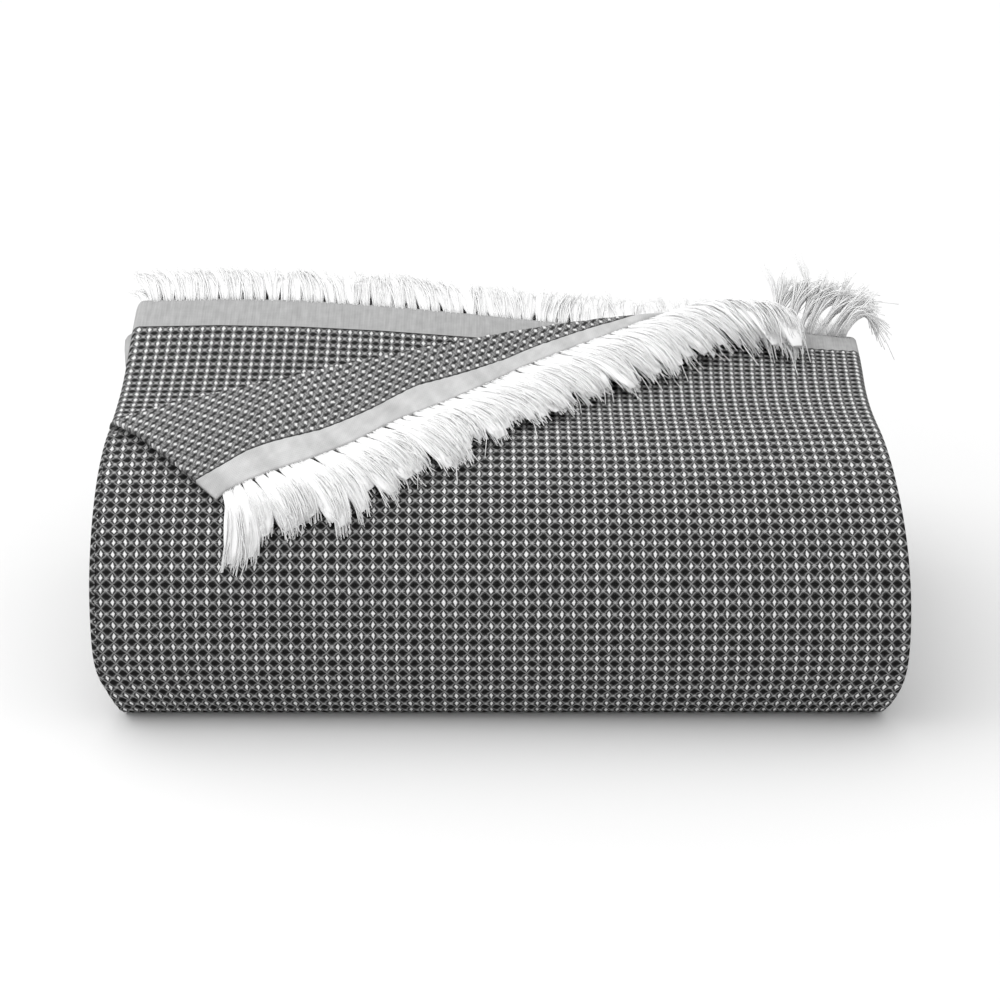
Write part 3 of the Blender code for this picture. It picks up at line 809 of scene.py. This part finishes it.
def waffle_face():
    """The waffle's face: white floats in dark hollows, grey ridges, and black lozenges between."""
    g = Graph("waffle_face", roughness=CLOTH_ROUGH, specular_ior_level=0.05)
    _, _, ax, ay = cell_places(g)
    end, _ = g.split(g.uv("ends"))
    on_top = g.step(end, FRONT_FROM, TOP_TO)

    def size(pair):
        return g.grade(on_top, 0.0, 1.0, *pair)

    def shade(pair):
        return g.mix(on_top, grey(pair[0]), grey(pair[1]))

    ridge = ridges(g, ax, ay, FACE_RIDGE_WIDTH)
    dot = rhomb(g, ax, ay, size(FACE_DOT_WIDE), size(FACE_DOT_HIGH), FACE_DOT_SOFT)
    from_x, from_y = g.calc("SUBTRACT", 0.5, ax), g.calc("SUBTRACT", 0.5, ay)
    hole = rhomb(g, from_x, from_y, *FACE_HOLE_SIZE)
    high = size(FACE_CROSSING_HIGH)
    crossing = rhomb(g, from_x, ay, FACE_CROSSING_WIDE, high, FACE_CROSSING_SOFT)
    colour = g.mix(ridge, shade(FACE_GROUND), shade(FACE_RIDGE))
    colour = g.mix(hole, colour, shade(FACE_HOLE))
    colour = g.mix(crossing, colour, grey(FACE_CROSSING))
    colour = g.mix(dot, colour, shade(FACE_DOT))
    colour = fuzzy(g, colour, *FACE_FUZZ)
    height = g.calc("MULTIPLY", ridge, FACE_RIDGE_RISE)
    height = g.calc("ADD", height, g.calc("MULTIPLY", dot, FACE_DOT_RISE))
    height = g.calc("ADD", height, g.calc("MULTIPLY", threads(g, FACE_YARNS), FACE_YARN_RISE))
    finish_cloth(g, *band_over(g, colour, height))
    return g.material


def waffle_reverse():
    """The waffle's other side: slanting white floats, black dashes of painted shade in the hollows
    between rows, light lines.
    """
    g = Graph("waffle_reverse", roughness=CLOTH_ROUGH, specular_ior_level=0.12)
    x, y, ax, ay = cell_places(g)
    from_x, from_y = g.calc("SUBTRACT", 0.5, ax), g.calc("SUBTRACT", 0.5, ay)
    ridge = ridges(g, ax, ay, REVERSE_RIDGE_WIDTH)
    long_way = g.calc("ABSOLUTE", g.calc("SUBTRACT", x, y))
    short_way = g.calc("ABSOLUTE", g.calc("ADD", x, y))
    dot = rhomb(g, long_way, short_way, *REVERSE_DOT_SIZE)
    # painted shade: a black dash in the hollow just above each float
    hollow_shade = rhomb(g, ax, from_y, *REVERSE_HOLLOW_SHADE_SIZE)
    line = rhomb(g, from_x, from_y, *REVERSE_LINE_SIZE)
    colour = g.mix(ridge, grey(REVERSE_GROUND), grey(REVERSE_RIDGE))
    colour = g.mix(line, colour, grey(REVERSE_LINE))
    colour = g.mix(hollow_shade, colour, grey(REVERSE_HOLLOW_SHADE))
    colour = g.mix(dot, colour, grey(REVERSE_DOT))
    colour = fuzzy(g, colour, *REVERSE_FUZZ)
    height = g.calc("MULTIPLY", line, REVERSE_LINE_RISE)
    height = g.calc("ADD", height, g.calc("MULTIPLY", dot, REVERSE_DOT_RISE))
    finish_cloth(g, *band_over(g, colour, height))
    return g.material


def cotton(name, dark, light):
    """Soft white brushed yarn, cloudy between two greys."""
    g = Graph(name, roughness=0.9, specular_ior_level=0.2)
    where = g.node("TexCoord").outputs["Object"]
    cloudy = g.noise(where, COTTON_CLOUDS, 3.0)
    fuzz = g.noise(where, COTTON_FUZZ, 2.0)
    g.feed(g.shader.inputs["Base Color"], g.mix(cloudy, grey(dark), grey(light)))
    bump = g.node("Bump")
    g.feed(bump.inputs["Height"], fuzz)
    g.feed(bump.inputs["Distance"], COTTON_DEPTH)
    g.feed(bump.inputs["Strength"], COTTON_STRENGTH)
    g.feed(g.shader.inputs["Normal"], bump.outputs[0])
    return g.material


# ---- Fringe ----

CLEAR = 0.003  # from the side of a ply to its first bundle
BENT_CLEAR = 0.0008  # how much further out the turned corner's fringe starts
CURL_CLEAR = 0.0010  # and how much more, at most, where the end goes round the fold
CURL_X, CURL_WIDTH = 0.070, 0.070  # where that starts, and over what width
PROBE = 0.001  # to each side of a place, for the direction of the edge there

# Bundles inside the stack lean to one side by a share of their length
LEAN = -0.08
LEAN_SWAY, LEAN_WAVE = 0.10, 31.0  # and by this much more or less, as a wave along the end
LEFT_LEAN, LEFT_FROM, LEFT_OVER = 0.22, -0.04, 0.12  # and more to the left of this x
KNEE_LEAN, KNEE_WAY, KNEE_FALL = 0.35, 0.5, 0.3  # shares of the tip's that the knee has


def front_root(x, out, h):
    """A place out from the end of the uppermost ply, at a height on its face."""
    clear = BENT_CLEAR + CURL_CLEAR * arch((x - CURL_X) / CURL_WIDTH)
    return upper_ply(x, -out - clear, h)


def front_path(x, root, length):
    """Knee and tip of a bundle on the uppermost ply."""
    right, down, tip_n, knee_right, knee_down, knee_n = from_table(FRONT_LOCKS, x)
    knee = Vector((root.x + knee_right * length, root.y + knee_down * length, PLY_PITCH + knee_n))
    tip = Vector((root.x + right * length, root.y + down * length, PLY_PITCH + tip_n))
    return knee, tip


def back_root(ply, far_end):
    """Gives the function of the places beyond one end of a ply inside the stack."""
    n = PLY_PITCH * (1 - ply)

    def root(x, out, h):
        return Vector((x, LENGTH + out if far_end else -out, n + h))

    return root


def back_path(fall, far_end):
    """Gives the function of the knee and tip of a bundle that points back."""
    way = 1.0 if far_end else -1.0

    def path(x, root, length):
        lean = LEAN + LEAN_SWAY * math.sin(x * LEAN_WAVE)
        lean -= LEFT_LEAN * smooth((LEFT_FROM - x) / LEFT_OVER)
        knee = Vector((KNEE_LEAN * lean * length, KNEE_WAY * way * length, KNEE_FALL * fall))
        tip = Vector((lean * length, way * length, fall))
        return root + knee, root + tip

    return path


def bezier(root, knee, tip, t):
    """A place on the soft line through a root, knee and tip."""
    pull = 2.0 * knee - 0.5 * (root + tip)
    return (1 - t) ** 2 * root + 2 * t * (1 - t) * pull + t * t * tip


YARN_POINTS = 8
YARN_SIDES = 3
YARN_RADIUS = 0.00036
YARN_UNEVEN = (0.75, 1.25)  # of the radius, from yarn to yarn
YARN_TAPER = 0.30  # of the radius, over its last two thirds
YARN_LIFT = 0.0009  # how far up and down the yarns start
START_ROOM = 0.38  # of a bundle's pitch, to each side
START_INSIDE = 0.0022  # how far inside the cloth's edge the yarns start
YARN_LENGTH = (0.90, 1.02)  # of the bundle's, and some are shorter by up to:
YARN_CUT, YARN_CUT_POWER = 0.25, 4.0
WAVE_SIZE = (0.0002, 0.0008)  # of a yarn's own waves
WAVE_ASIDE, WAVE_OVER = 7.0, 6.0  # radians along its length, aside and up
WAVE_FLAT = 0.6  # size of its waves up and down against those aside
WAVE_GROWS = 1.6  # they have their full size once this times its length's share is 1
STRAY_SIZE = (0.0015, 0.0035)  # of the waves of a yarn that lies loose
STRAY_LENGTH = (0.95, 1.15)

CORE_SIDES = 8
CORE_RINGS = (
    # share of the length, half the width, half the thickness
    (-0.03, 0.0021, 0.0006),
    (0.08, 0.0025, 0.0011),
    (0.22, 0.0042, 0.0013),
    (0.40, 0.0058, 0.0012),
    (0.60, 0.0060, 0.0010),
    (0.78, 0.0050, 0.0008),
    (0.90, 0.0026, 0.0004),
)
CORE_LIES = 0.3  # from this share of its length on, a core keeps over the cloth
CORE_UNDER = 0.0004  # how much lower than the yarns it may lie there

PLACE_SWAY = 0.12  # of the pitch, from the middle of a bundle's place
PULL_KEPT, PULL_NEW = 0.5, 0.050  # how bundles lean aside together: share kept, and spread of new
GROWN_KEPT, GROWN_NEW = 0.6, 0.055  # how they grow longer or shorter together
LENGTH_SHARE, LENGTH_SWAY = 0.97, 0.13  # of LOCK_LENGTH, and more or less
GATHER = (0.45, 1.1)  # how far its tips stay apart
WIDE = (0.8, 1.15)  # its width against its room
LEAST_ROOM = 0.75  # of the pitch, where a bundle lies along the edge
KNEE_SWAY = 0.35  # share of a bundle's lean aside that its knees have
KNEE_FAN = 2.0  # the most that a bundle's knees rise and fall with its tips
KNEE_ROOM, KNEE_HEIGHT = 0.72, 0.0022  # how far its knees spread aside and up
TIP_ROOM, TIP_HEIGHT = 1.25, 0.0024  # and its tips
TIP_LOOSE = (0.0011, 0.0006, 0.0008)  # spread of single tips: aside, up and along y
WISPS = 4  # of one bundle, side by side
WISP_ROOM = 0.42  # how much of its room a wisp still fills at its tip
WISP_UP = 0.6  # share of a tip's height that its whole wisp has
WISP_SWAYS = ((-0.2, 0.2), (-0.8, 0.8), (0.86, 1.04))  # of a wisp: aside, up and length
TIGHT = (1.0, 1.0, 1.0, 0.0, 1.0)  # as a row of the next table, without its x
LOOSE = (
    # x on the end, how widely the tips fan out, how much they rise and fall, size of the core,
    # how far single tips drop, and number of yarns
    (0.095, 1.0, 1.0, 1.0, 0.0, 1.0),
    (0.120, 1.1, 2.0, 1.3, 0.0, 1.1),
    (0.160, 1.2, 2.0, 1.4, 0.0, 1.3),
    (0.162, 3.6, 3.0, 0.35, 0.0, 1.4),
    (0.185, 4.0, 4.0, 0.35, 0.008, 1.5),
    (0.206, 3.0, 5.0, 0.35, 0.045, 1.4),
)


def skin(faces, base, rings, sides):
    """Joins rings of vertices that follow each other, and closes both ends."""
    for k in range(rings - 1):
        for j in range(sides):
            a, b = base + k * sides + j, base + k * sides + (j + 1) % sides
            faces.append((a, b, b + sides, a + sides))
    faces.append(tuple(base + k for k in range(sides))[::-1])
    faces.append(tuple(base + (rings - 1) * sides + k for k in range(sides)))


def tube(line, radii):
    """Vertices of a thin tube along a line, ring after ring."""
    verts = []
    side = None
    for k, at in enumerate(line):
        way = (line[min(k + 1, len(line) - 1)] - line[max(k - 1, 0)]).normalized()
        if side is None:
            side = way.orthogonal()
        side = (side - side.dot(way) * way).normalized()
        other = way.cross(side)
        for j in range(YARN_SIDES):
            a = 2.0 * math.pi * j / YARN_SIDES
            verts.append(at + (side * math.cos(a) + other * math.sin(a)) * radii[k])
    return verts


def brush(name, yarns, cores, look):
    """One mesh of thin yarns, each a line and its radii, with the soft cores of their bundles."""
    verts = []
    faces = []
    for line, radii in yarns:
        skin(faces, len(verts), len(line), YARN_SIDES)
        verts += tube(line, radii)
    for core in cores:
        skin(faces, len(verts), len(core), CORE_SIDES)
        for ring in core:
            verts += ring
    mesh = bpy.data.meshes.new(name)
    mesh.from_pydata(verts, [], faces)
    mesh.polygons.foreach_set("use_smooth", [True] * len(mesh.polygons))
    mesh.materials.append(look)
    made = bpy.data.objects.new(name, mesh)
    bpy.context.scene.collection.objects.link(made)
    return made


class Bundle:
    """One bundle of a fringe: its line, the directions across it, and how its yarns lie."""

    def __init__(self, rng, root, path, middle, pitch, pull, grown, loose):
        self.root, self.middle, self.pitch = root, middle, pitch
        self.fan_wide, self.fan_high, self.core_size, self.drop, self.more = loose
        length = LOCK_LENGTH * (LENGTH_SHARE + grown + rng.uniform(-LENGTH_SWAY, LENGTH_SWAY))
        self.gather = rng.uniform(*GATHER)
        self.start = root(middle, EDGE_GAP, 0.0)
        self.knee, self.tip = path(middle, self.start, length)
        before, after = root(middle - PROBE, EDGE_GAP, 0.0), root(middle + PROBE, EDGE_GAP, 0.0)
        edge = (after - before).normalized()
        way = (self.tip - self.start).normalized()
        side = edge - edge.dot(way) * way
        room = max(side.length, LEAST_ROOM)
        self.side = side.normalized()
        over = self.side.cross(way)
        self.over = over if over.z > 0.0 else -over
        self.sway = edge * pull * length * room
        self.wide = rng.uniform(*WIDE) * room
        self.wisps = [[rng.uniform(*sway) for sway in WISP_SWAYS] for _ in range(WISPS)]

    def core(self, floor):
        """Rings of the bundle's soft core in the world."""
        rings = []
        for share, half, flat in CORE_RINGS:
            knee, tip = self.knee + self.sway * KNEE_SWAY, self.tip + self.sway
            at = bezier(self.start, knee, tip, share)
            aside = self.side * half * self.wide * self.core_size
            up = self.over * flat * self.core_size
            ring = []
            for k in range(CORE_SIDES):
                a = 2.0 * math.pi * k / CORE_SIDES
                corner = at + aside * math.cos(a) + up * math.sin(a)
                if floor is not None and share > CORE_LIES:
                    corner.z = max(corner.z, floor - CORE_UNDER)
                ring.append(place(*corner))
            rings.append(ring)
        return rings

    def ends(self, rng, across, up):
        """Knee and tip of a yarn, and its share of the length, by its place in the bundle."""
        number = min(int((across + 1.0) / 2.0 * WISPS), WISPS - 1)
        aside, lifted, reach = self.wisps[number]
        wisp = (2.0 * number + 1.0) / WISPS - 1.0 + aside
        tip_across = wisp + (across - wisp) * WISP_ROOM
        tip_up = WISP_UP * lifted + (1.0 - WISP_UP) * up
        short = reach * rng.uniform(*YARN_LENGTH) - YARN_CUT * rng.random() ** YARN_CUT_POWER
        loose_aside, loose_up, loose_y = TIP_LOOSE
        spread = tip_across * self.wide * self.pitch * TIP_ROOM * self.gather * self.fan_wide
        spread += rng.gauss(0, loose_aside)
        high = (tip_up * TIP_HEIGHT + rng.gauss(0, loose_up)) * self.fan_high
        fan = self.side * spread + self.over * high + Vector((0.0, rng.gauss(0, loose_y), 0.0))
        tip = self.tip + fan + self.sway
        tip.z -= self.drop * rng.random()
        knee_up = up * KNEE_HEIGHT * min(self.fan_high, KNEE_FAN)
        knee_fan = self.side * across * KNEE_ROOM * self.pitch * self.wide + self.over * knee_up
        return self.knee + knee_fan + self.sway * KNEE_SWAY, tip, short

    def yarn(self, rng, floor, stray):
        """The places of one yarn in the world, and its radius at each."""
        across = rng.uniform(-1.0, 1.0)
        up = rng.uniform(-1.0, 1.0)
        x = self.middle + across * START_ROOM * self.pitch
        start = self.root(x, EDGE_GAP - START_INSIDE, up * YARN_LIFT)
        knee, tip, short = self.ends(rng, across, up)
        wave = rng.uniform(0.0, 2.0 * math.pi)
        size = rng.uniform(*WAVE_SIZE)
        if rng.random() < stray:
            size = rng.uniform(*STRAY_SIZE)
            short = rng.uniform(*STRAY_LENGTH)
        body = YARN_RADIUS * rng.uniform(*YARN_UNEVEN)
        line = []
        radii = []
        for k in range(YARN_POINTS):
            share = k / (YARN_POINTS - 1)
            t = short * share
            bend = size * smooth(t * WAVE_GROWS)
            at = bezier(start, knee, tip, t)
            at += self.side * math.sin(wave + WAVE_ASIDE * t) * bend
            at += self.over * math.cos(wave + WAVE_OVER * t) * bend * WAVE_FLAT
            # Past the stack's right side there is no cloth below, and it may hang lower
            if floor is not None and k > 1 and at.x < WIDTH / 2:
                at.z = max(at.z, floor)
            line.append(place(*at))
            radii.append(body * (1.0 - YARN_TAPER * smooth(share * 1.5 - 0.5)))
        return line, radii


def fringe(name, root, path, look, seed, bundles=60, yarns=36, floor=None, stray=0.0):
    """Bundles of soft brushed yarns along the end of one ply, each round a soft core."""
    rng = random.Random(seed)
    left, right = -FREE_X + CLEAR, FREE_X - CLEAR
    pitch = (right - left) / bundles
    made = []
    cores = []
    pull = grown = 0.0
    for b in range(bundles):
        pull = PULL_KEPT * pull + rng.gauss(0.0, PULL_NEW)
        grown = GROWN_KEPT * grown + rng.gauss(0.0, GROWN_NEW)
        middle = left + (b + 0.5) * pitch + rng.uniform(-PLACE_SWAY, PLACE_SWAY) * pitch
        loose = from_table(LOOSE, middle) if stray else TIGHT
        bundle = Bundle(rng, root, path, middle, pitch, pull, grown, loose)
        cores.append(bundle.core(floor))
        made += [bundle.yarn(rng, floor, stray) for _ in range(round(yarns * bundle.more))]
    return brush(name, made, cores, look)


# ---- View and light ----

SENSOR, LENS = 36.0, 98.46  # millimetres
CAMERA_AT = (0.0, -1.3874, 0.639)
CAMERA_TILT = math.radians(68.0)  # from straight down
NEAREST = 0.01
FLOOR_SIZE = 12.0  # half its width
FLOOR_WHITE = (0.76, 0.76, 0.76, 1.0)
SKY_WHITE = (1.0, 1.0, 1.0, 1.0)
SUN_POWER, SUN_WIDTH = 1.25, math.radians(70.0)
SUN_TURN = (math.radians(-18.0), math.radians(-26.0), 0.0)
LEFT_POWER, LEFT_SIZE = 1.1, 0.5
LEFT_AT = (-0.75, -0.30, 0.45)
LEFT_TURN = (math.radians(15.0), math.radians(-58.0), 0.0)


def camera():
    """The photograph's view: from the front, a little above."""
    data = bpy.data.cameras.new("view")
    data.sensor_width = SENSOR
    data.lens = LENS
    data.clip_start = NEAREST
    made = bpy.data.objects.new("view", data)
    bpy.context.scene.collection.objects.link(made)
    made.location = CAMERA_AT
    made.rotation_euler = (CAMERA_TILT, 0.0, 0.0)
    bpy.context.scene.camera = made


def floor_plane():
    """A wide white floor, which isn't part of the object."""
    bm = bmesh.new()
    bmesh.ops.create_grid(bm, x_segments=1, y_segments=1, size=FLOOR_SIZE)
    mesh = bpy.data.meshes.new("floor")
    bm.to_mesh(mesh)
    bm.free()
    floor = bpy.data.objects.new("floor", mesh)
    bpy.context.scene.collection.objects.link(floor)
    g = Graph("white_floor", roughness=1.0, specular_ior_level=0.0, base_color=FLOOR_WHITE)
    mesh.materials.append(g.material)


def light(name, kind, energy, turn):
    """A lamp of this kind, turned from straight down; its size is still to be set."""
    data = bpy.data.lights.new(name, kind)
    data.energy = energy
    made = bpy.data.objects.new(name, data)
    made.rotation_euler = turn
    bpy.context.scene.collection.objects.link(made)
    return made


def studio():
    """A white floor, soft light from all round and above, and a weak one at the left."""
    floor_plane()
    world = bpy.data.worlds.new("studio")
    world.use_nodes = True
    sky = world.node_tree.nodes["Background"]
    sky.inputs["Color"].default_value = SKY_WHITE
    sky.inputs["Strength"].default_value = 1.0
    bpy.context.scene.world = world
    light("key", "SUN", SUN_POWER, SUN_TURN).data.angle = SUN_WIDTH
    left = light("left", "AREA", LEFT_POWER, LEFT_TURN)
    left.data.size = LEFT_SIZE
    left.location = LEFT_AT
    bpy.context.scene.view_settings.view_transform = "Standard"


# ---- Build ----

OVER_PLY = 0.0022  # how far over the middle of the uppermost ply the yarns on it keep
FRINGES = (
    # name, ply, far end, rise of tips, seed
    ("fringe_middle", 1, False, 0.004, 12),
    ("fringe_lower", 2, False, 0.0, 13),
    ("fringe_far_upper", 2, True, 0.004, 14),
    ("fringe_far_middle", 1, True, 0.008, 15),
    ("fringe_far_lower", 0, True, 0.012, 16),
)
TURNED_FRINGE = {
    "seed": 11,
    "bundles": 66,
    "yarns": 58,
    "floor": PLY_PITCH + OVER_PLY,
    "stray": 0.02,  # share of yarns that lie loose
}

camera()
studio()
blanket = cloth()
face_look, reverse_look = waffle_face(), waffle_reverse()
# The two sides of the sheet, and then the two of its turned corner
for look in (face_look, face_look, reverse_look, reverse_look):
    blanket.data.materials.append(look)
white = cotton("fringe_cotton", 238, 248)
# a darker copy of the same cotton for the fringes at the back: painted shade
shaded = cotton("fringe_cotton_shaded", 236, 247)
yarns = [fringe("yarns_fringe_turned", front_root, front_path, white, **TURNED_FRINGE)]
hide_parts("fringe_turned")
for name, ply, far_end, rise, seed in FRINGES:
    made = fringe("yarns_" + name, back_root(ply, far_end), back_path(rise, far_end), shaded, seed)
    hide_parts(name)
    yarns.append(made)
for made in yarns:
    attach(made, "root")
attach(blanket, "root")
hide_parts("blanket")
